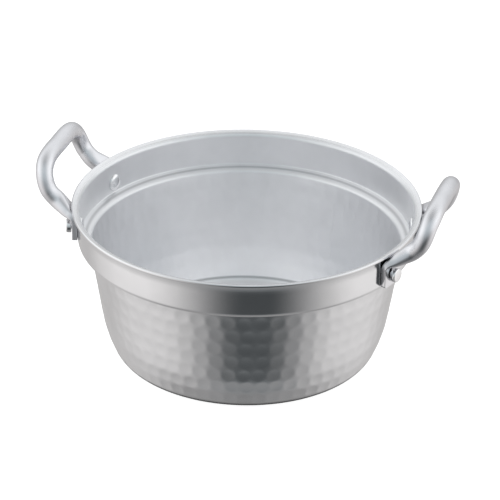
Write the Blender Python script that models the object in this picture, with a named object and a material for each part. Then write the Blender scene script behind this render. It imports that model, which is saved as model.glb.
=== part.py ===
"""Two-handled hammered cooking pot with a stepped collar: body, two cast handles and four rivets.

Frame: origin at the centre of the base's underside, +Z up, handles on the X axis. Units are metres.
"""
import math

import bmesh
import bpy
from mathutils import Matrix, Vector

FIT_GAP = 0.0003              # between pieces that touch

# Rim and collar; depths are measured down from the middle of the rim's edge
SHEET = 0.0022                # wall thickness
LIP_RADIUS = 0.158            # outermost radius of the rim
RIM_EDGE = 0.0016             # half the thickness of the rim's edge
LIP_CORNER = 0.0010           # rounding of the lip's two corners
LIP_DROP = 0.0023             # fall of the lip's face on its way in
LIP_FILLET = 0.0050           # inside, between the lip and the collar
COLLAR_RADIUS = 0.1527        # outside of the straight collar
COLLAR_DEPTH = 0.0334         # to the collar's lower corner
COLLAR_CORNER = 0.0055        # rounding of that corner
FLARE_RADIUS = 0.1544         # under the lip, where the collar's flare starts
FLARE_DEPTH = 0.0090          # where the flare ends
FLARE_FILLET = 0.0022
FLARE_CURVE = 0.020

# Step, body wall and base
STEP_DROP = 0.0020            # fall of the step from the collar to the body
STEP_RADIUS = 0.1421          # outside of the body just below the step
STEP_FILLET = 0.0020          # outside, between the step and the body
LEDGE_FILLET = 0.0014         # inside, between the ledge and the collar
WALL_BEND = (0.1285, 0.1184)  # radius and depth where the wall starts to turn in
WALL_CURVE = 0.130            # its radius of curvature there
HEEL = (0.1166, 0.1457)       # radius and depth of the corner between wall and base
HEEL_FILLET = 0.0185
RIM_HEIGHT = HEEL[1]          # of the rim's edge above the base's underside
BODY_SEGMENTS = 64

# Handles: a foot is a plate curved to fit the collar, and the arm grows out of its top
FOOT_AZIMUTH = math.radians(18.2)   # of each foot, from the handle's axis
FOOT_THICKNESS = 0.0050
FOOT_HALF_WIDTH = 0.0128
FOOT_BOTTOM = -0.0310         # heights from the rim's edge
FOOT_TOP = -0.0128
FOOT_CORNER = 0.0026
FOOT_SQUARENESS = 7.0         # exponent of the section's superellipse; 2 is an ellipse
ARM = 0.0079                  # radius of the arms
GRIP = 0.0083                 # radius of the grip
# From the foot to the middle of the grip: x, y, height, half width, half thickness, squareness,
# and how much of the collar's curve the section follows
ARM_STATIONS = (
    (0.1537, 0.0482, -0.0072, 0.0108, 0.0054, 2.6, 0.6),
    (0.1642, 0.0460, 0.0006, 0.0086, 0.0079, 2.1, 0.1),
    (0.1710, 0.0466, 0.0075, ARM, ARM, 2.0, 0.0),
    (0.1744, 0.0464, 0.0136, ARM, ARM, 2.0, 0.0),
    (0.1766, 0.0450, 0.0202, ARM, ARM, 2.0, 0.0),
    (0.1781, 0.0420, 0.0259, ARM, ARM, 2.0, 0.0),
    (0.1791, 0.0365, 0.0305, GRIP, GRIP, 2.0, 0.0),
    (0.1797, 0.0288, 0.0333, GRIP, GRIP, 2.0, 0.0),
    (0.1798, 0.0160, 0.0345, GRIP, GRIP, 2.0, 0.0),
    (0.1797, 0.0000, 0.0345, GRIP, GRIP, 2.0, 0.0),
)
HANDLE_RING = 16              # points round a section
STATION_STEPS = 2             # sections for each station

# Rivets, one through each foot
RIVET_HEIGHT = -0.0212
SHANK_RADIUS = 0.0032
OUTER_HEAD_RADIUS = 0.0065
OUTER_HEAD_HEIGHT = 0.0050
OUTER_HEAD_FILLET = 0.0012
INNER_HEAD_RADIUS = 0.0078
INNER_HEAD_HEIGHT = 0.0032
INNER_HEAD_FILLET = 0.0024
RIVET_SEGMENTS = 16

ALUMINIUM = (0.72, 0.73, 0.74, 1.0)
CAST_ALUMINIUM = (0.76, 0.77, 0.78, 1.0)
RIVET_ALUMINIUM = (0.78, 0.79, 0.80, 1.0)
SHARP_ANGLE = math.radians(40)


def clear_scene():
    for thing in list(bpy.data.objects):
        bpy.data.objects.remove(thing, do_unlink=True)


def make_material(name, colour, roughness):
    """A plain metal in the piece's own colour."""
    material = bpy.data.materials.new(name)
    material.use_nodes = True
    shader = material.node_tree.nodes["Principled BSDF"]
    shader.inputs["Base Color"].default_value = colour
    shader.inputs["Metallic"].default_value = 1.0
    shader.inputs["Roughness"].default_value = roughness
    return material


def make_mesh(name, bm, material):
    """Turn a bmesh into a smooth-shaded mesh with its faces pointing out."""
    bmesh.ops.recalc_face_normals(bm, faces=bm.faces)
    mesh = bpy.data.meshes.new(name)
    bm.to_mesh(mesh)
    bm.free()
    mesh.materials.append(material)
    mesh.shade_smooth()
    mesh.set_sharp_from_angle(angle=SHARP_ANGLE)
    return mesh


def add_object(name, mesh, matrix=Matrix.Identity(4)):
    thing = bpy.data.objects.new(name, mesh)
    thing.matrix_world = matrix
    bpy.context.scene.collection.objects.link(thing)
    return thing


def round_corner(before, corner, after, radius, steps):
    """Points of the arc that rounds a corner between two straight runs."""
    corner = Vector(corner)
    back = (Vector(before) - corner).normalized()
    on = (Vector(after) - corner).normalized()
    half = back.angle(on) / 2
    start = corner + back * radius / math.tan(half)
    end = corner + on * radius / math.tan(half)
    centre = corner + (back + on).normalized() * radius / math.sin(half)
    sweep = (start - centre).angle_signed(end - centre)
    turns = [Matrix.Rotation(-sweep * i / steps, 2) for i in range(steps + 1)]
    return [centre + turn_by @ (start - centre) for turn_by in turns]


def round_outline(corners):
    """An open outline from (r, z, fillet radius, steps) corners; a fillet of 0 stays sharp."""
    points = []
    for i, (r, z, radius, steps) in enumerate(corners):
        if radius == 0:
            points.append(Vector((r, z)))
        else:
            points += round_corner(corners[i - 1][:2], (r, z), corners[i + 1][:2], radius, steps)
    return points


def inset(before, corner, after, distance):
    """The corner of an outline that runs down, moved the same distance inside both of its runs."""
    arriving = (Vector(corner) - Vector(before)).normalized()
    leaving = (Vector(after) - Vector(corner)).normalized()
    inside_arriving = Vector((arriving.y, -arriving.x))
    inside_leaving = Vector((leaving.y, -leaving.x))
    middle = (inside_arriving + inside_leaving).normalized()
    return Vector(corner) + middle * distance / middle.dot(inside_leaving)


def turn(outline, segments):
    """Revolve an outline whose two ends lie on the Z axis."""
    bm = bmesh.new()
    verts = [bm.verts.new((p.x, 0.0, p.y)) for p in outline]
    edges = [bm.edges.new(pair) for pair in zip(verts, verts[1:])]
    bmesh.ops.spin(bm, geom=verts + edges, axis=(0, 0, 1), cent=(0, 0, 0),
                   steps=segments, angle=math.tau, use_merge=True)
    bmesh.ops.remove_doubles(bm, verts=bm.verts, dist=1e-6)
    return bm


def body_outline():
    """Section of the sheet: from the inside of the base, up, over the rim and down the outside."""
    outer = [
        (LIP_RADIUS, RIM_HEIGHT - RIM_EDGE),
        (COLLAR_RADIUS, RIM_HEIGHT - FLARE_DEPTH),
        (COLLAR_RADIUS, RIM_HEIGHT - COLLAR_DEPTH),
        (STEP_RADIUS, RIM_HEIGHT - COLLAR_DEPTH - STEP_DROP),
        (WALL_BEND[0], RIM_HEIGHT - WALL_BEND[1]),
        (HEEL[0], RIM_HEIGHT - HEEL[1]),
        (0.0, 0.0),
    ]
    collar, step, bend, heel = [
        inset(outer[i - 1], outer[i], outer[i + 1], SHEET) for i in (2, 3, 4, 5)
    ]
    corners = [
        (0.0, SHEET, 0, 0),
        (heel.x, heel.y, HEEL_FILLET - SHEET, 5),
        (bend.x, bend.y, WALL_CURVE - SHEET, 3),
        (step.x, step.y, STEP_FILLET + SHEET, 4),
        (collar.x, collar.y, LEDGE_FILLET, 3),
        (collar.x, RIM_HEIGHT + RIM_EDGE - LIP_DROP, LIP_FILLET, 4),
        (LIP_RADIUS, RIM_HEIGHT + RIM_EDGE, LIP_CORNER, 3),
        (*outer[0], LIP_CORNER, 3),
        (FLARE_RADIUS, outer[0][1], FLARE_FILLET, 3),
        (*outer[1], FLARE_CURVE, 2),
        (*outer[2], COLLAR_CORNER, 4),
        (*outer[3], STEP_FILLET, 2),
        (*outer[4], WALL_CURVE, 3),
        (*outer[5], HEEL_FILLET, 5),
        (*outer[6], 0, 0),
    ]
    return round_outline(corners)


def rivet_outline():
    """Half section along the rivet's axis; heights are distances from the pot's axis."""
    wall = (COLLAR_RADIUS - SHEET) * math.cos(math.pi / BODY_SEGMENTS)
    inner_seat = wall - FIT_GAP
    outer_seat = COLLAR_RADIUS + FOOT_THICKNESS + 2 * FIT_GAP
    corners = [
        (0.0, inner_seat - INNER_HEAD_HEIGHT, 0, 0),
        (INNER_HEAD_RADIUS, inner_seat - INNER_HEAD_HEIGHT, INNER_HEAD_FILLET, 3),
        (INNER_HEAD_RADIUS, inner_seat, 0, 0),
        (SHANK_RADIUS, inner_seat, 0, 0),
        (SHANK_RADIUS, outer_seat, 0, 0),
        (OUTER_HEAD_RADIUS, outer_seat, 0, 0),
        (OUTER_HEAD_RADIUS, outer_seat + OUTER_HEAD_HEIGHT, OUTER_HEAD_FILLET, 2),
        (0.0, outer_seat + OUTER_HEAD_HEIGHT, 0, 0),
    ]
    return round_outline(corners)


def bore_outline():
    """The hole that a shank runs through, longer than the wall and the foot together."""
    radius = SHANK_RADIUS + FIT_GAP
    inner_end = COLLAR_RADIUS - 3 * SHEET
    outer_end = COLLAR_RADIUS + 2 * FOOT_THICKNESS
    corners = [(0.0, inner_end), (radius, inner_end), (radius, outer_end), (0.0, outer_end)]
    return [Vector(corner) for corner in corners]


def foot_stations():
    """The foot's sections from its lower end up; the lower corners are rounded."""
    middle = COLLAR_RADIUS + FIT_GAP + FOOT_THICKNESS / 2
    x = middle * math.cos(FOOT_AZIMUTH)
    y = middle * math.sin(FOOT_AZIMUTH)
    half = FOOT_THICKNESS / 2
    stations = []
    for turned in (0, 30, 60, 90):
        a = math.radians(turned)
        height = FOOT_BOTTOM + FOOT_CORNER * (1 - math.cos(a))
        width = FOOT_HALF_WIDTH - FOOT_CORNER * (1 - math.sin(a))
        stations.append((x, y, height, width, half, FOOT_SQUARENESS, 1.0))
    stations.append((x, y, FOOT_TOP, FOOT_HALF_WIDTH, half, FOOT_SQUARENESS, 1.0))
    return stations


def smooth_between(a, b, c, d, t):
    """Catmull-Rom value between b and c."""
    return 0.5 * (2 * b + (c - a) * t + (2 * a - 5 * b + 4 * c - d) * t * t
                  + (3 * b - a - 3 * c + d) * t ** 3)


def handle_stations():
    """Half a handle: the foot's stations, then smoothly spaced ones up the arm to the grip."""
    foot = foot_stations()
    guide = [foot[-2], foot[-1], *ARM_STATIONS]
    x, y, *rest = ARM_STATIONS[-2]
    guide.append((x, -y, *rest))
    stations = foot[:-1]
    for i in range(1, len(guide) - 2):
        for step in range(STATION_STEPS):
            t = step / STATION_STEPS
            stations.append(tuple(smooth_between(*values, t) for values in zip(*guide[i - 1:i + 3])))
    stations.append(ARM_STATIONS[-1])
    return stations


def section(centre, across, through, half_width, half_thickness, squareness, curve):
    """Superellipse points round a centre."""
    points = []
    for i in range(HANDLE_RING):
        a = math.tau * (i + 0.5) / HANDLE_RING
        c, s = math.cos(a), math.sin(a)
        u = half_width * math.copysign(abs(c) ** (2 / squareness), c)
        v = half_thickness * math.copysign(abs(s) ** (2 / squareness), s)
        v += curve * u ** 2 / (2 * COLLAR_RADIUS)
        points.append(centre + across * u + through * v)
    return points


def handle_rings():
    """Sections of the whole handle, from one foot to the other, without twist."""
    stations = handle_stations()
    centres = [Vector((x, y, RIM_HEIGHT + height)) for x, y, height, *rest in stations]
    across = Vector((-math.sin(FOOT_AZIMUTH), math.cos(FOOT_AZIMUTH), 0.0))
    rings = []
    for i, (centre, station) in enumerate(zip(centres, stations)):
        if i == len(centres) - 1:
            along = Vector((0.0, -1.0, 0.0))
        else:
            along = (centres[i + 1] - centres[max(i - 1, 0)]).normalized()
        across = (across - along * across.dot(along)).normalized()
        rings.append(section(centre, across, along.cross(across), *station[3:]))
    mirrored = [[Vector((p.x, -p.y, p.z)) for p in ring] for ring in reversed(rings[:-1])]
    return rings + mirrored


def handle_mesh(material):
    bm = bmesh.new()
    rings = [[bm.verts.new(p) for p in ring] for ring in handle_rings()]
    for ring, following in zip(rings, rings[1:]):
        for i in range(HANDLE_RING):
            j = (i + 1) % HANDLE_RING
            bm.faces.new((ring[i], ring[j], following[j], following[i]))
    bm.faces.new(rings[0])
    bm.faces.new(rings[-1])
    return make_mesh("handle", bm, material)


def cut(thing, cutter):
    modifier = thing.modifiers.new("bore", "BOOLEAN")
    modifier.operation = "DIFFERENCE"
    modifier.solver = "EXACT"
    modifier.object = cutter


def main():
    clear_scene()
    sheet = make_material("spun_aluminium", ALUMINIUM, 0.38)
    cast = make_material("cast_aluminium", CAST_ALUMINIUM, 0.34)
    rivet_metal = make_material("rivet_aluminium", RIVET_ALUMINIUM, 0.28)

    body = add_object("pot_body", make_mesh("pot_body", turn(body_outline(), BODY_SEGMENTS), sheet))
    handle = handle_mesh(cast)
    rivet = make_mesh("rivet", turn(rivet_outline(), RIVET_SEGMENTS), rivet_metal)
    bore = make_mesh("bore", turn(bore_outline(), RIVET_SEGMENTS), rivet_metal)

    lay_outwards = Matrix.Rotation(math.pi / 2, 4, "Y")
    lift = Matrix.Translation((0.0, 0.0, RIM_HEIGHT + RIVET_HEIGHT))
    for side, facing in (("right", 0.0), ("left", math.pi)):
        grip = add_object("handle_" + side, handle, Matrix.Rotation(facing, 4, "Z"))
        for place, azimuth in (("front", -FOOT_AZIMUTH), ("back", FOOT_AZIMUTH)):
            turned = facing + (azimuth if side == "right" else -azimuth)
            matrix = lift @ Matrix.Rotation(turned, 4, "Z") @ lay_outwards
            add_object("rivet_" + side + "_" + place, rivet, matrix)
            cutter = add_object("bore_" + side + "_" + place, bore, matrix)
            cutter.hide_render = True
            cutter.display_type = "WIRE"
            cut(body, cutter)
            cut(grip, cutter)


main()
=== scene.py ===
"""Looks of a two-handled cooking pot in satin aluminium, with a hammered wall and a stepped collar.

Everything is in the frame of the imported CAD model: metres, +Z up, handles on the X axis.
"""
import math

import bpy
import numpy as np
from mathutils import Matrix, Vector


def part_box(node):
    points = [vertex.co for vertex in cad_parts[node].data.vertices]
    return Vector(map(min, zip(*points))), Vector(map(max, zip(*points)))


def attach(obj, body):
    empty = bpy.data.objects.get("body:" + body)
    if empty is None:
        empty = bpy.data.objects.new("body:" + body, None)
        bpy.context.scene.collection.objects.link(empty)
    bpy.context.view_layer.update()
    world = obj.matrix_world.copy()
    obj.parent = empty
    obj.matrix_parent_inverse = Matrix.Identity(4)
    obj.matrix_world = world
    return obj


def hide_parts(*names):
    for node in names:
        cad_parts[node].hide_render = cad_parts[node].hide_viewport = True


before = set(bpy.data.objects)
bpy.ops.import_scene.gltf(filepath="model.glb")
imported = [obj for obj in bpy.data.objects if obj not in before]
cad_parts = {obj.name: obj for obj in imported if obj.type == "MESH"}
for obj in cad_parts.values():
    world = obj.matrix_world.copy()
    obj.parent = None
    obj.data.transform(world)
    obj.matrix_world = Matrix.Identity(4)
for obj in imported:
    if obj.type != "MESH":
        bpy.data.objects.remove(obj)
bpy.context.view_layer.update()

# Sheet: places read from the frame, and the driving sizes of its section
RIM_EDGE = 0.0016             # half the thickness of the rim's edge
RIM_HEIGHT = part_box("pot_body")[1].z - RIM_EDGE
LIP_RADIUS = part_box("pot_body")[1].y
LIP_CORNER = 0.0010           # rounding of the lip's two corners
LIP_DROP = 0.0023             # how far the lip's face falls on its way in
LIP_FILLET = 0.0050
SHEET = 0.0022                # wall thickness
COLLAR_RADIUS = 0.1527
COLLAR_DEPTH = 0.0334         # depths are measured down from the middle of the rim's edge
COLLAR_CORNER = 0.0055
FLARE_RADIUS = 0.1544         # under the lip, where the collar's flare starts
FLARE_DEPTH = 0.0090          # where the flare ends
FLARE_FILLET = 0.0022
FLARE_CURVE = 0.020
STEP_DROP = 0.0020
STEP_RADIUS = 0.1421
STEP_FILLET = 0.0020
LEDGE_FILLET = 0.0014
WALL_BEND = (0.1285, 0.1184)  # radius and depth where the wall starts to turn in
WALL_CURVE = 0.130
HEEL = (0.1166, RIM_HEIGHT)   # radius and depth of the corner between wall and base
HEEL_FILLET = 0.0185
INNER_HEEL_FILLET = HEEL_FILLET - SHEET
INNER_STEP_FILLET = STEP_FILLET + SHEET

# Hammer marks: rows of shallow round hollows, pressed in from outside
MARKS_ROUND = 62
MARK_ROWS = 7
ROW_PITCH = 0.0146
FIRST_ROW = 0.0102            # along the wall, from the step to the middle of the first row
MARK_RADIUS = 0.0068
MARK_DEPTH = 0.00022
MARK_SPREAD = 0.16            # how much one mark's depth differs from the next
MARK_DRIFT = 0.0005           # how far a mark may stray from its place
MARK_SEED = 7
MARK_RIDGE = 0.05             # rounding of the ridges, as a share of the depth
INNER_SHARES = (1.5, 0.45)    # share of the depth that shows inside: at the step, and at the base
ROW_TURNS = (0.0, 0.22, 0.06, 0.16, -0.06, 0.20, 0.04)    # share of a mark's width, row by row
ROW_DEPTHS = (1.10, 0.85, 0.80, 0.85, 1.05, 1.55, 1.60)   # share of the mark depth, row by row
MARK_EDGE = 0.035             # softness of a mark's edge, as a share of the depth
SEGMENTS = MARKS_ROUND * 9    # of the shell's mesh, round the axis
BASE_SPACING = 0.015          # of the mesh's rings on the base, and on the wall inside and outside
INNER_SPACING = 0.0026
OUTER_SPACING = 0.0015

# Finish of the sheet inside the pot, and the painted light and painted shade lines there
BASE_LINE = 0.0092            # height of the dark line of painted shade on the inner curve round the base
BASE_LINE_WIDTH = 0.0018
BASE_LINE_DEPTH = 0.60        # how much darker the painted shade line is
BASE_SHADE = 0.10             # how much darker the base is inside the line
LEDGE_LINE = RIM_HEIGHT - 0.0325   # height of the dark line of painted shade round the sloping inner ledge
LEDGE_LINE_WIDTH = 0.0005
LEDGE_LINE_DEPTH = 0.32       # how much darker the painted shade is
PAINTED_LIGHT_INSIDE = (0.15, 0.02)    # painted light: how much lighter the metal is painted inside, low down and high up
PAINTED_LIGHT_INSIDE_HEIGHTS = (0.015, 0.095)
FINISH_AND_PAINTED_LIGHT = "finish_and_painted_light"             # attribute of the points for finish and painted light: 1 inside the pot, 0 outside; set on the feet too
FINISH_AND_PAINTED_LIGHT_RINGS = 4              # rings of the mesh over which it comes in, below the lip

# Handles: feet against the collar, and an arm that grows out of each foot's top
FOOT_AZIMUTH = math.radians(18.2)
FIT_GAP = 0.0003
FOOT_THICKNESS = 0.0050
FOOT_HALF_WIDTH = 0.0128
FOOT_BOTTOM = -0.0310         # heights from the rim's edge
FOOT_TOP = -0.0128
FOOT_CORNER = 0.0026
FOOT_EDGE = 0.0005            # rounding of the foot's long edges
ROUGH_FOOT = -1.2             # finish of each handle's foot on its +Y side, rougher than the arm
ARM = 0.0079
GRIP = 0.0083
# From the foot to the middle of the grip: x, y, height, half width, half thickness, corner radius,
# and how much of the collar's curve the section follows
ARM_STATIONS = (
    (0.1537, 0.0482, -0.0072, 0.0108, 0.0054, 0.0045, 0.6),
    (0.1642, 0.0460, 0.0006, 0.0086, 0.0079, 0.0078, 0.1),
    (0.1710, 0.0466, 0.0075, ARM, ARM, ARM, 0.0),
    (0.1744, 0.0464, 0.0136, ARM, ARM, ARM, 0.0),
    (0.1766, 0.0450, 0.0202, ARM, ARM, ARM, 0.0),
    (0.1781, 0.0420, 0.0259, ARM, ARM, ARM, 0.0),
    (0.1791, 0.0365, 0.0305, GRIP, GRIP, GRIP, 0.0),
    (0.1797, 0.0288, 0.0333, GRIP, GRIP, GRIP, 0.0),
    (0.1798, 0.0160, 0.0345, GRIP, GRIP, GRIP, 0.0),
    (0.1797, 0.0000, 0.0345, GRIP, GRIP, GRIP, 0.0),
)
CAD_SIDES = 16                # the CAD section's corners lie on the outline, its flats inside
SECTION_FIT = math.cos(math.pi / CAD_SIDES)
HANDLE_RING = 48              # points round a section
STATION_STEPS = 8             # sections from one station to the next
SHARP_EDGE = math.radians(50)

# Rivets
RIVET_HEIGHT = -0.0212
SHANK_RADIUS = 0.0032
OUTER_HEAD_RADIUS = 0.0065
OUTER_HEAD_HEIGHT = 0.0050
OUTER_HEAD_CROWN = 0.0004
OUTER_HEAD_FILLETS = (0.0004, 0.0013)   # at the seat, and at the top
INNER_HEAD_RADIUS = 0.0078
INNER_HEAD_HEIGHT = 0.0032
INNER_HEAD_DOME = 0.8                   # below 1 the dome is fuller than an ellipse
RIVET_SEGMENTS = 64

# Camera
CAMERA_DISTANCE = 2.7056
CAMERA_ELEVATION = math.radians(26.55)
CAMERA_TURN = math.radians(16.6)      # from -Y, counter-clockwise seen from above
CAMERA_PAN = math.radians(0.074)
CAMERA_TILT = math.radians(-0.865)
CAMERA_ROLL = math.radians(0.825)
CAMERA_LENS = 216.0

# Light tent: (elevation in degrees, brightness, coolness) on the camera's side, left and right, and behind
SLOT_TURN = math.radians(23.6)        # the dark slot's middle, from -Y, below the horizon
SLOT_LEAN = math.radians(8)           # how much less it is turned above the horizon
SLOT_TO_SIDE = (math.radians(8), math.radians(80))        # from the slot's middle, either way round
SIDE_TO_BACK = (math.radians(100), math.radians(150))
TENT_STRENGTH = 1.4
TENT_SLOT = (
    (-90, 0.22, 0.0), (-76, 0.25, 0.0), (-66, 0.27, 0.02), (-60, 0.26, 0.04), (-54, 0.13, 0.07),
    (-48, 0.085, 0.08), (-18, 0.055, 0.08), (-5, 0.30, 0.08), (15, 0.54, 0.09), (32, 0.62, 0.09),
    (50, 0.70, 0.08), (70, 0.45, 0.05), (90, 0.52, 0.03),
)
TENT_SIDE = (
    (-90, 0.28, 0.0), (-65, 0.31, -0.01), (-45, 0.66, -0.015), (-26, 0.89, -0.02), (-5, 1.00, 0.0),
    (15, 1.25, 0.02), (32, 1.12, 0.02), (50, 0.88, 0.02), (70, 0.62, 0.02), (90, 0.52, 0.03),
)
TENT_BACK = (
    (-90, 0.28, 0.0), (-65, 0.42, -0.01), (-45, 0.55, -0.02), (-26, 0.53, -0.02), (-5, 0.46, 0.0),
    (15, 0.72, 0.02), (32, 1.02, 0.02), (50, 0.92, 0.02), (70, 0.70, 0.02), (90, 0.52, 0.03),
)

LEAN_HEIGHTS = (0.42, 0.56)           # where the lean sets in: 0 at the nadir, 0.5 level, 1 overhead

FLOOR_SIZE = 8.0
FLOOR_LIGHT = 0.9
SHADOW_RADIUS = (0.114, 0.122)        # the contact shadow, seen only in the pot's own reflection
SHADOW_SIDES = 64
SHADOW_HEIGHT = -0.0002
SHADOW_LIGHT = 0.05

# Metals: colour, roughness, anisotropy, scale of the grain, and how much the finish dulls and pales it
SHEET_METAL = ((0.864, 0.864, 0.877), 0.15, 0.30, 1400.0, 0.17, 0.25)
CAST_METAL = ((0.803, 0.80, 0.825), 0.29, 0.0, 900.0, -0.18, 0.0)
RIVET_METAL = ((0.92, 0.92, 0.925), 0.16, 0.0, 1200.0, 0.0, 0.0)
CLOUD_SCALE = 38.0
CLOUD_SHADE = 0.955                   # colour of the darkest clouds, as a share of the metal's
CLOUD_WEAR = (0.92, 1.08)             # roughness of the clouds, as a share of the metal's
GRAIN_SPREAD = 0.06                   # of the roughness
GRAIN_BUMP = 0.03
GRAIN_HEIGHT = 0.0002


# ---------------------------------------------------------------- outlines

def round_corner(before, corner, after, radius, steps):
    """Points of the arc that rounds a corner between two straight runs."""
    corner = Vector(corner)
    back = (Vector(before) - corner).normalized()
    on = (Vector(after) - corner).normalized()
    half = back.angle(on) / 2
    start = corner + back * radius / math.tan(half)
    end = corner + on * radius / math.tan(half)
    centre = corner + (back + on).normalized() * radius / math.sin(half)
    sweep = (start - centre).angle_signed(end - centre)
    turns = [Matrix.Rotation(-sweep * i / steps, 2) for i in range(steps + 1)]
    return [centre + turn_by @ (start - centre) for turn_by in turns]


def round_outline(corners):
    """An open outline from (r, z, fillet radius, steps) corners; a fillet of 0 stays sharp."""
    points = []
    for i, (r, z, radius, steps) in enumerate(corners):
        if radius == 0:
            points.append(Vector((r, z)))
        else:
            points += round_corner(corners[i - 1][:2], (r, z), corners[i + 1][:2], radius, steps)
    return points


def inset(before, corner, after, distance):
    """The corner of an outline that runs down, moved the same distance inside both of its runs."""
    arriving = (Vector(corner) - Vector(before)).normalized()
    leaving = (Vector(after) - Vector(corner)).normalized()
    inside_arriving = Vector((arriving.y, -arriving.x))
    inside_leaving = Vector((leaving.y, -leaving.x))
    middle = (inside_arriving + inside_leaving).normalized()
    return Vector(corner) + middle * distance / middle.dot(inside_leaving)


def spaced(points, spacing):
    """An outline's points, with more between them wherever they lie further apart than the spacing."""
    filled = [points[0]]
    for a, b in zip(points, points[1:]):
        count = max(1, round((b - a).length / spacing))
        filled += [a.lerp(b, (i + 1) / count) for i in range(count)]
    return filled


def outer_corners():
    """The sheet's outer side in (r, z), from under the lip down to the middle of the base."""
    return [
        (LIP_RADIUS, RIM_HEIGHT - RIM_EDGE),
        (COLLAR_RADIUS, RIM_HEIGHT - FLARE_DEPTH),
        (COLLAR_RADIUS, RIM_HEIGHT - COLLAR_DEPTH),
        (STEP_RADIUS, RIM_HEIGHT - COLLAR_DEPTH - STEP_DROP),
        (WALL_BEND[0], RIM_HEIGHT - WALL_BEND[1]),
        (HEEL[0], RIM_HEIGHT - HEEL[1]),
        (0.0, 0.0),
    ]


def sheet_outlines():
    """The section in three stretches: inner wall, plain from ledge over rim to step, and outer wall."""
    outer = outer_corners()
    collar, step, bend, heel = [
        inset(outer[i - 1], outer[i], outer[i + 1], SHEET) for i in (2, 3, 4, 5)
    ]
    inside = round_outline([
        (0.0, SHEET, 0, 0),
        (heel.x, heel.y, INNER_HEEL_FILLET, 12),
        (bend.x, bend.y, WALL_CURVE - SHEET, 8),
        (*step, 0, 0),
    ])
    plain = round_outline([
        (*bend, 0, 0),
        (step.x, step.y, INNER_STEP_FILLET, 8),
        (collar.x, collar.y, LEDGE_FILLET, 7),
        (collar.x, RIM_HEIGHT + RIM_EDGE - LIP_DROP, LIP_FILLET, 9),
        (LIP_RADIUS, RIM_HEIGHT + RIM_EDGE, LIP_CORNER, 5),
        (*outer[0], LIP_CORNER, 5),
        (FLARE_RADIUS, outer[0][1], FLARE_FILLET, 6),
        (*outer[1], FLARE_CURVE, 6),
        (*outer[2], COLLAR_CORNER, 8),
        (*outer[3], STEP_FILLET, 4),
        (*outer[4], 0, 0),
    ])[1:-1]
    outside = round_outline([
        (*outer[3], 0, 0),
        (*outer[4], WALL_CURVE, 10),
        (*outer[5], HEEL_FILLET, 14),
        (*outer[6], 0, 0),
    ])
    return inside, plain, outside


# ---------------------------------------------------------------- pot shell

def along(points):
    """Distance of each point along its outline."""
    steps = [(b - a).length for a, b in zip(points, points[1:])]
    return np.concatenate([[0.0], np.cumsum(steps)])


def outward_normals(points):
    """Unit normals of an outline in (r, z), to the left of its direction."""
    xy = np.array([tuple(p) for p in points])
    tangent = np.gradient(xy, axis=0)
    tangent /= np.linalg.norm(tangent, axis=1)[:, None]
    return np.stack([-tangent[:, 1], tangent[:, 0]], axis=1)


def mark_field(run, radius, azimuth):
    """How far the hammer marks press the wall in, for places along the wall and round it."""
    draws = np.random.default_rng(MARK_SEED)
    depths = 1 + MARK_SPREAD * draws.uniform(-1, 1, (MARK_ROWS, MARKS_ROUND))
    depths *= np.array(ROW_DEPTHS)[:, None]
    drift = MARK_DRIFT * draws.uniform(-1, 1, (MARK_ROWS, MARKS_ROUND, 2))
    width = math.tau / MARKS_ROUND
    nearest = []
    for row in range(MARK_ROWS):
        place = azimuth / width - ROW_TURNS[row]
        index = np.round(place).astype(int)
        for side in (-1, 0, 1):
            mark = (index + side) % MARKS_ROUND
            across = (place - index - side) * width * radius + drift[row, mark, 0]
            down = run - FIRST_ROW - row * ROW_PITCH + drift[row, mark, 1]
            hollow = 1 - (across ** 2 + down ** 2) / MARK_RADIUS ** 2
            nearest.append(hollow * depths[row, mark])
    nearest = np.stack(nearest)
    deepest = nearest.max(axis=0)
    rounded = deepest + MARK_RIDGE * np.log(np.exp((nearest - deepest) / MARK_RIDGE).sum(axis=0))
    return MARK_DEPTH * MARK_EDGE * np.logaddexp(0, rounded / MARK_EDGE)


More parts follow.
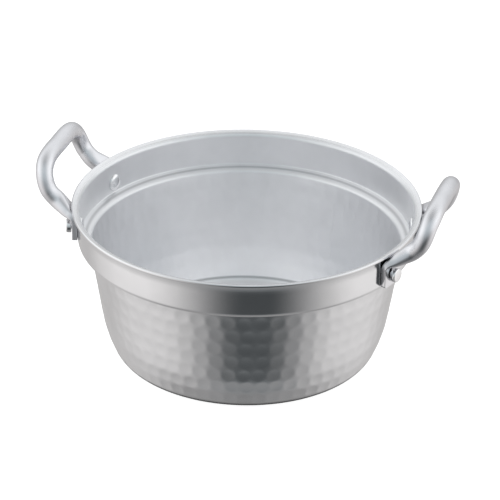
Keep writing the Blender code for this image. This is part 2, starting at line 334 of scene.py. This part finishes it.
def shell_mesh():
    """The pot's sheet, turned from its section, with the hammer marks pressed in and its finish and
    painted light noted.
    """
    inside, plain, outside = sheet_outlines()
    inner_base, inner_wall = inside[:1], inside[1:-1]
    outer_wall, outer_base = outside[1:-1], outside[-1:]
    inner_base = spaced(inner_base + inner_wall[:1], BASE_SPACING)[:-1]
    outer_base = spaced(outer_wall[-1:] + outer_base, BASE_SPACING)[1:]
    inner_wall = spaced(inner_wall + plain[:1], INNER_SPACING)[:-1]
    outer_wall = spaced(plain[-1:] + outer_wall, OUTER_SPACING)[1:]
    outline = inner_base + inner_wall + plain + outer_wall + outer_base
    r = np.array([p.x for p in outline])
    z = np.array([p.y for p in outline])
    normal = outward_normals(outline)

    run = np.full(len(outline), -1.0)
    share = np.zeros(len(outline))
    inner = len(inner_base) + len(inner_wall)
    outer = inner + len(plain)
    run[:inner] = along([inside[-1]] + (inner_base + inner_wall)[::-1])[:0:-1]
    run[outer:] = along([outside[0]] + outer_wall + outer_base)[1:]
    share[:inner] = -np.interp(run[:inner], (0.0, MARK_ROWS * ROW_PITCH), INNER_SHARES)
    share[outer:] = 1.0

    azimuth = math.tau * np.arange(SEGMENTS) / SEGMENTS - math.pi / 2 + CAMERA_TURN
    rows = slice(1, len(outline) - 1)
    angle, radius = np.meshgrid(azimuth, r[rows])
    _, place = np.meshgrid(azimuth, run[rows])
    _, height = np.meshgrid(azimuth, z[rows])
    _, push = np.meshgrid(azimuth, share[rows])
    press = push * mark_field(place, radius, angle - azimuth[0])
    ring_r = radius - press * normal[rows, 0][:, None]
    ring_z = height - press * normal[rows, 1][:, None]
    ring = np.stack([ring_r * np.cos(angle), ring_r * np.sin(angle), ring_z], axis=-1)
    verts = np.concatenate([[[0, 0, z[0]]], ring.reshape(-1, 3), [[0, 0, z[-1]]]])
    lip = next(i for i, p in enumerate(outline) if p.x > LIP_RADIUS - RIM_EDGE)
    finish_and_painted_light = np.clip((lip - np.arange(len(outline))) / FINISH_AND_PAINTED_LIGHT_RINGS, 0, 1)
    finish_and_painted_light = np.concatenate([finish_and_painted_light[:1], np.repeat(finish_and_painted_light[rows], SEGMENTS), finish_and_painted_light[-1:]])

    count = len(outline) - 2
    corner = np.arange(count * SEGMENTS).reshape(count, SEGMENTS) + 1
    following = np.roll(corner, -1, axis=1)
    quads = np.stack([corner[:-1], corner[1:], following[1:], following[:-1]], axis=-1).reshape(-1, 4)
    last = len(verts) - 1
    fans = [(0, a, b) for a, b in zip(corner[0], following[0])]
    fans += [(last, b, a) for a, b in zip(corner[-1], following[-1])]
    mesh = bpy.data.meshes.new("pot_shell")
    mesh.from_pydata(verts.tolist(), [], quads.tolist() + [tuple(int(i) for i in f) for f in fans])
    mesh.attributes.new(FINISH_AND_PAINTED_LIGHT, "FLOAT", "POINT").data.foreach_set("value", finish_and_painted_light)
    mesh.shade_smooth()
    return mesh


# ---------------------------------------------------------------- handles

def foot_stations():
    """The foot's sections from its lower end up; the lower corners are rounded."""
    middle = COLLAR_RADIUS + FIT_GAP + FOOT_THICKNESS / 2
    x = middle * math.cos(FOOT_AZIMUTH)
    y = middle * math.sin(FOOT_AZIMUTH)
    half = FOOT_THICKNESS / 2
    first_width = FOOT_HALF_WIDTH - FOOT_CORNER
    stations = [(x, y, FOOT_BOTTOM, first_width - FOOT_EDGE, half - FOOT_EDGE, FOOT_EDGE, 1.0)]
    for turned in range(20, 91, 10):
        a = math.radians(turned)
        height = FOOT_BOTTOM + FOOT_CORNER * (1 - math.cos(a))
        width = first_width + FOOT_CORNER * math.sin(a)
        stations.append((x, y, height, width, half, FOOT_EDGE, 1.0))
    stations.append((x, y, FOOT_TOP, FOOT_HALF_WIDTH, half, FOOT_EDGE, 1.0))
    return stations


def smooth_between(a, b, c, d, t):
    """Catmull-Rom value between b and c."""
    return 0.5 * (2 * b + (c - a) * t + (2 * a - 5 * b + 4 * c - d) * t * t
                  + (3 * b - a - 3 * c + d) * t ** 3)


def handle_stations():
    """Half a handle: the foot's stations, then smoothly spaced ones up the arm to the grip."""
    foot = foot_stations()
    guide = [foot[-2], foot[-1], *ARM_STATIONS]
    x, y, *rest = ARM_STATIONS[-2]
    guide.append((x, -y, *rest))
    stations = foot[:-1]
    for i in range(1, len(guide) - 2):
        for step in range(STATION_STEPS):
            t = step / STATION_STEPS
            stations.append(tuple(smooth_between(*values, t) for values in zip(*guide[i - 1:i + 3])))
    stations.append(ARM_STATIONS[-1])
    return stations


def section(centre, across, through, half_width, half_thickness, corner, curve):
    """A rounded rectangle, bent to follow the collar; a corner as large as both halves makes a circle."""
    points = []
    for i in range(HANDLE_RING):
        a = math.tau * (i + 0.5) / HANDLE_RING
        c, s = math.cos(a), math.sin(a)
        u = math.copysign(half_width - corner, c) + corner * c
        v = math.copysign(half_thickness - corner, s) + corner * s
        v += curve * u ** 2 / (2 * COLLAR_RADIUS)
        points.append(centre + across * SECTION_FIT * u + through * SECTION_FIT * v)
    return points


def handle_rings():
    """Sections of the whole handle, from one foot to the other, without twist."""
    stations = handle_stations()
    centres = [Vector((x, y, RIM_HEIGHT + height)) for x, y, height, *rest in stations]
    across = Vector((-math.sin(FOOT_AZIMUTH), math.cos(FOOT_AZIMUTH), 0.0))
    rings = []
    for i, (centre, station) in enumerate(zip(centres, stations)):
        if i == len(centres) - 1:
            direction = Vector((0.0, -1.0, 0.0))
        else:
            direction = (centres[i + 1] - centres[max(i - 1, 0)]).normalized()
        across = (across - direction * across.dot(direction)).normalized()
        rings.append(section(centre, across, direction.cross(across), *station[3:]))
    mirrored = [[Vector((p.x, -p.y, p.z)) for p in ring] for ring in reversed(rings[:-1])]
    return rings + mirrored


def foot_finish(point):
    """Finish of the right handle's points: 0 on the arms, 1 on the front foot, rough on the back one."""
    arm_start = ARM_STATIONS[0][2]
    share = (arm_start - (point.z - RIM_HEIGHT)) / (arm_start - FOOT_TOP)
    return min(max(share, 0.0), 1.0) * (1.0 if point.y < 0 else ROUGH_FOOT)


def ring_mesh(name, rings):
    """A closed mesh through rings with the same number of points."""
    size = len(rings[0])
    verts = [tuple(p) for ring in rings for p in ring]
    faces = []
    for start in range(0, len(verts) - size, size):
        for i in range(size):
            j = (i + 1) % size
            faces.append((start + i, start + j, start + size + j, start + size + i))
    faces.append(tuple(reversed(range(size))))
    faces.append(tuple(range(len(verts) - size, len(verts))))
    mesh = bpy.data.meshes.new(name)
    mesh.from_pydata(verts, [], faces)
    mesh.shade_smooth()
    mesh.set_sharp_from_angle(angle=SHARP_EDGE)
    return mesh


# ---------------------------------------------------------------- rivets

def rivet_outline():
    """Half section along the rivet's axis; heights are distances from the pot's axis."""
    inner_seat = COLLAR_RADIUS - SHEET - FIT_GAP
    outer_seat = COLLAR_RADIUS + FOOT_THICKNESS + 2 * FIT_GAP
    top = outer_seat + OUTER_HEAD_HEIGHT
    inner = [
        (INNER_HEAD_RADIUS * math.sin(a), inner_seat - INNER_HEAD_HEIGHT * math.cos(a) ** INNER_HEAD_DOME)
        for a in np.linspace(0, math.pi / 2, 12)
    ]
    middle = [(SHANK_RADIUS, inner_seat), (SHANK_RADIUS, outer_seat)]
    outer = round_outline([
        (SHANK_RADIUS, outer_seat, 0, 0),
        (OUTER_HEAD_RADIUS, outer_seat, OUTER_HEAD_FILLETS[0], 3),
        (OUTER_HEAD_RADIUS, top - OUTER_HEAD_CROWN, OUTER_HEAD_FILLETS[1], 6),
        (0.0, top, 0, 0),
    ])[1:]
    return [Vector(p) for p in inner + middle] + outer


def turned_mesh(name, outline, segments):
    """Revolve an outline whose two ends lie on the Z axis."""
    rings = []
    for p in outline[1:-1]:
        rings.append([
            Vector((p.x * math.cos(a), p.x * math.sin(a), p.y))
            for a in (math.tau * i / segments for i in range(segments))
        ])
    return ring_mesh(name, rings)


# ---------------------------------------------------------------- materials

class Graph:
    """Adds nodes to a node tree and links them."""

    def __init__(self, tree):
        self.tree = tree

    def node(self, kind, settings=None, **inputs):
        node = self.tree.nodes.new(kind)
        for key, value in (settings or {}).items():
            setattr(node, key, value)
        for key, value in inputs.items():
            self.feed(node.inputs[key.replace("_", " ")], value)
        return node

    def feed(self, socket, value):
        if isinstance(value, bpy.types.NodeSocket):
            self.tree.links.new(value, socket)
        else:
            socket.default_value = value

    def math(self, operation, *values):
        node = self.tree.nodes.new("ShaderNodeMath")
        node.operation = operation
        for socket, value in zip(node.inputs, values):
            self.feed(socket, value)
        return node.outputs[0]

    def smoothstep(self, value, low, high, to_low=0.0, to_high=1.0):
        node = self.node("ShaderNodeMapRange", {"interpolation_type": "SMOOTHSTEP"})
        for key, item in zip(("Value", "From Min", "From Max", "To Min", "To Max"),
                             (value, low, high, to_low, to_high)):
            self.feed(node.inputs[key], item)
        return node.outputs["Result"]

    def ramp(self, value, stops):
        """Light by elevation, from (degrees, brightness, coolness) stops; value is 0 at the nadir."""
        node = self.node("ShaderNodeValToRGB", Fac=value)
        elements = node.color_ramp.elements
        while len(elements) < len(stops):
            elements.new(0.5)
        for element, (degrees, brightness, coolness) in zip(elements, stops):
            element.position = (degrees + 90) / 180
            level = brightness / TENT_STRENGTH
            element.color = (level * (1 - coolness), level, level * (1 + coolness / 2), 1.0)
        return node.outputs["Color"]

    def mix(self, factor, a, b):
        node = self.node("ShaderNodeMix", {"data_type": "RGBA"})
        self.feed(node.inputs["Factor"], factor)
        for socket, value in ((node.inputs[6], a), (node.inputs[7], b)):
            self.feed(socket, value if isinstance(value, bpy.types.NodeSocket) else (*value, 1.0))
        return node.outputs[2]


def metal(name, colour, roughness, anisotropy, grain, duller, paler):
    """Satin aluminium with fine grain and clouds; where the finish is 1 it is that much duller and paler.

    The same attribute also brings painted light, lighter low down inside, and the dark lines of painted
    shade round its base and its ledge.
    """
    material = bpy.data.materials.new(name)
    material.use_nodes = True
    tree = material.node_tree
    graph = Graph(tree)
    shader = tree.nodes["Principled BSDF"]
    shader.inputs["Anisotropic"].default_value = anisotropy
    shader.inputs["Anisotropic Rotation"].default_value = 0.25
    place = graph.node("ShaderNodeTexCoord").outputs["Object"]
    clouds = graph.node("ShaderNodeTexNoise", Vector=place, Scale=CLOUD_SCALE, Detail=3.0).outputs["Fac"]
    speckle = graph.node("ShaderNodeTexNoise", Vector=place, Scale=grain, Detail=2.0).outputs["Fac"]
    finish_and_painted_light = graph.node("ShaderNodeAttribute", {"attribute_name": FINISH_AND_PAINTED_LIGHT}).outputs["Fac"]
    darker = tuple(c * CLOUD_SHADE for c in colour)
    tone = graph.mix(graph.smoothstep(clouds, 0.3, 0.7), darker, colour)
    height = graph.node("ShaderNodeSeparateXYZ", Vector=place).outputs["Z"]
    # painted light inside: lighter low down and less so on the base; the two dark lines below are painted
    # shade
    lift = graph.smoothstep(height, *PAINTED_LIGHT_INSIDE_HEIGHTS, *PAINTED_LIGHT_INSIDE)
    base = graph.smoothstep(height, BASE_LINE - BASE_LINE_WIDTH, BASE_LINE, BASE_SHADE, 0.0)
    lift = graph.math("SUBTRACT", lift, base)
    for middle, width, depth in ((BASE_LINE, BASE_LINE_WIDTH, BASE_LINE_DEPTH),
                                 (LEDGE_LINE, LEDGE_LINE_WIDTH, LEDGE_LINE_DEPTH)):
        away = graph.math("ABSOLUTE", graph.math("SUBTRACT", height, middle))
        lift = graph.math("SUBTRACT", lift, graph.smoothstep(away, 0.0, width, depth, 0.0))
    level = graph.math("MULTIPLY_ADD", finish_and_painted_light, lift, 1.0)
    toned = graph.node("ShaderNodeVectorMath", {"operation": "SCALE"}, Vector=tone, Scale=level)
    graph.feed(shader.inputs["Base Color"], toned.outputs["Vector"])
    worn = graph.smoothstep(clouds, 0.25, 0.75, *(roughness * share for share in CLOUD_WEAR))
    spread = graph.math("MULTIPLY_ADD", speckle, GRAIN_SPREAD, -GRAIN_SPREAD / 2)
    metallic = graph.math("MULTIPLY_ADD", finish_and_painted_light, -paler, 1.0) if paler else 1.0
    graph.feed(shader.inputs["Metallic"], metallic)
    worn = graph.math("MULTIPLY_ADD", finish_and_painted_light, duller, worn)
    graph.feed(shader.inputs["Roughness"], graph.math("ADD", worn, spread))
    bump = graph.node("ShaderNodeBump", Strength=GRAIN_BUMP, Distance=GRAIN_HEIGHT, Height=speckle)
    graph.feed(shader.inputs["Normal"], bump.outputs["Normal"])
    return material


# ---------------------------------------------------------------- light, floor, camera

def build_world():
    """The light tent, which the camera itself sees as plain white."""
    world = bpy.data.worlds.new("light_tent")
    world.use_nodes = True
    tree = world.node_tree
    tree.nodes.clear()
    graph = Graph(tree)
    direction = graph.node("ShaderNodeTexCoord").outputs["Generated"]
    turned = graph.node("ShaderNodeVectorRotate", {"rotation_type": "Z_AXIS"},
                        Vector=direction, Angle=-SLOT_TURN).outputs["Vector"]
    parts = graph.node("ShaderNodeSeparateXYZ", Vector=turned)
    x, y, z = parts.outputs
    height = graph.math("MULTIPLY_ADD", graph.math("ARCSINE", z), 1 / math.pi, 0.5)
    from_slot = graph.math("ARCTAN2", x, graph.math("MULTIPLY", y, -1.0))
    lean = graph.smoothstep(height, *LEAN_HEIGHTS, 0.0, SLOT_LEAN)
    round_slot = graph.math("ABSOLUTE", graph.math("ADD", from_slot, lean))
    slot, side, back = [graph.ramp(height, stops) for stops in (TENT_SLOT, TENT_SIDE, TENT_BACK)]
    tent = graph.mix(graph.smoothstep(round_slot, *SLOT_TO_SIDE), slot, side)
    tent = graph.mix(graph.smoothstep(round_slot, *SIDE_TO_BACK), tent, back)

    seen = graph.node("ShaderNodeLightPath").outputs["Is Camera Ray"]
    lit = graph.node("ShaderNodeBackground", Color=graph.mix(seen, tent, (1.0, 1.0, 1.0)),
                     Strength=TENT_STRENGTH)
    output = graph.node("ShaderNodeOutputWorld")
    tree.links.new(lit.outputs[0], output.inputs["Surface"])
    bpy.context.scene.world = world


def build_floor():
    """A pale floor, lit mostly by its own glow, which the metal's reflections don't see."""
    half = FLOOR_SIZE / 2
    mesh = bpy.data.meshes.new("floor")
    mesh.from_pydata([(-half, -half, 0), (half, -half, 0), (half, half, 0), (-half, half, 0)], [],
                     [(0, 1, 2, 3)])
    material = bpy.data.materials.new("pale_floor")
    material.use_nodes = True
    tree = material.node_tree
    shader = tree.nodes["Principled BSDF"]
    shader.inputs["Base Color"].default_value = (0.5, 0.5, 0.5, 1.0)
    shader.inputs["Roughness"].default_value = 1.0
    shader.inputs["Specular IOR Level"].default_value = 0.0
    shader.inputs["Emission Color"].default_value = (1.0, 1.0, 1.0, 1.0)
    shader.inputs["Emission Strength"].default_value = FLOOR_LIGHT
    mesh.materials.append(material)
    floor = bpy.data.objects.new("floor", mesh)
    floor.visible_glossy = False
    floor.visible_shadow = False
    bpy.context.scene.collection.objects.link(floor)


def build_contact_shadow():
    """A dark disc under the pot that only reflections see, since the floor is too bright for them."""
    mesh = bpy.data.meshes.new("contact_shadow")
    ring = [(SHADOW_RADIUS[1] * math.cos(a), SHADOW_RADIUS[1] * math.sin(a), SHADOW_HEIGHT)
            for a in (math.tau * i / SHADOW_SIDES for i in range(SHADOW_SIDES))]
    mesh.from_pydata(ring, [], [tuple(range(SHADOW_SIDES))])
    material = bpy.data.materials.new("contact_shade")
    material.use_nodes = True
    tree = material.node_tree
    tree.nodes.clear()
    graph = Graph(tree)
    place = graph.node("ShaderNodeTexCoord").outputs["Object"]
    radius = graph.node("ShaderNodeVectorMath", {"operation": "LENGTH"}, Vector=place).outputs["Value"]
    dark = graph.node("ShaderNodeEmission", Color=(1.0, 1.0, 1.0, 1.0), Strength=SHADOW_LIGHT)
    clear = graph.node("ShaderNodeBsdfTransparent")
    blend = tree.nodes.new("ShaderNodeMixShader")
    graph.feed(blend.inputs[0], graph.smoothstep(radius, *SHADOW_RADIUS))
    tree.links.new(dark.outputs[0], blend.inputs[1])
    tree.links.new(clear.outputs[0], blend.inputs[2])
    tree.links.new(blend.outputs[0], graph.node("ShaderNodeOutputMaterial").inputs["Surface"])
    mesh.materials.append(material)
    shadow = bpy.data.objects.new("contact_shadow", mesh)
    shadow.visible_camera = False
    shadow.visible_shadow = False
    shadow.visible_diffuse = False
    bpy.context.scene.collection.objects.link(shadow)


def build_camera():
    """The photo's view: from above the rim's middle, then trimmed by the pan, tilt and roll."""
    data = bpy.data.cameras.new("camera")
    data.lens = CAMERA_LENS
    data.clip_end = 50.0
    camera = bpy.data.objects.new("camera", data)
    bpy.context.scene.collection.objects.link(camera)
    target = Vector((0.0, 0.0, RIM_HEIGHT))
    level = Vector((math.sin(CAMERA_TURN), -math.cos(CAMERA_TURN), 0.0))
    offset = level * math.cos(CAMERA_ELEVATION) + Vector((0, 0, math.sin(CAMERA_ELEVATION)))
    aim = (-offset).to_track_quat("-Z", "Y").to_matrix().to_4x4()
    trim = (Matrix.Rotation(CAMERA_TILT, 4, "X") @ Matrix.Rotation(-CAMERA_PAN, 4, "Y")
            @ Matrix.Rotation(CAMERA_ROLL, 4, "Z"))
    camera.matrix_world = Matrix.Translation(target + offset * CAMERA_DISTANCE) @ aim @ trim
    bpy.context.scene.camera = camera


# ---------------------------------------------------------------- assembly

def add_piece(name, mesh, matrix, material, node):
    """Place a mesh that stands for one CAD node; meshes used twice keep their first material."""
    piece = bpy.data.objects.new(name, mesh)
    piece.matrix_world = matrix
    bpy.context.scene.collection.objects.link(piece)
    if not mesh.materials:
        mesh.materials.append(material)
    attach(piece, "root")
    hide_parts(node)
    return piece


def build_pot():
    sheet = metal("satin_sheet", *SHEET_METAL)
    cast = metal("satin_cast", *CAST_METAL)
    pressed = metal("satin_rivet", *RIVET_METAL)
    add_piece("pot_shell", shell_mesh(), Matrix.Identity(4), sheet, "pot_body")
    handle = ring_mesh("handle_form", handle_rings())
    finish_and_painted_light = [foot_finish(vertex.co) for vertex in handle.vertices]
    handle.attributes.new(FINISH_AND_PAINTED_LIGHT, "FLOAT", "POINT").data.foreach_set("value", finish_and_painted_light)
    rivet = turned_mesh("rivet_form", rivet_outline(), RIVET_SEGMENTS)
    lay_outwards = Matrix.Rotation(math.pi / 2, 4, "Y")
    lift = Matrix.Translation((0.0, 0.0, RIM_HEIGHT + RIVET_HEIGHT))
    for side, facing in (("right", 0.0), ("left", math.pi)):
        add_piece("handle_" + side + "_cast", handle, Matrix.Rotation(facing, 4, "Z"), cast,
                  "handle_" + side)
        for place, azimuth in (("front", -FOOT_AZIMUTH), ("back", FOOT_AZIMUTH)):
            turned = facing + (azimuth if side == "right" else -azimuth)
            matrix = lift @ Matrix.Rotation(turned, 4, "Z") @ lay_outwards
            add_piece("rivet_" + side + "_" + place + "_pressed", rivet, matrix, pressed,
                      "rivet_" + side + "_" + place)


build_pot()
build_world()
build_floor()
build_contact_shadow()
build_camera()
bpy.context.scene.view_settings.view_transform = "Standard"
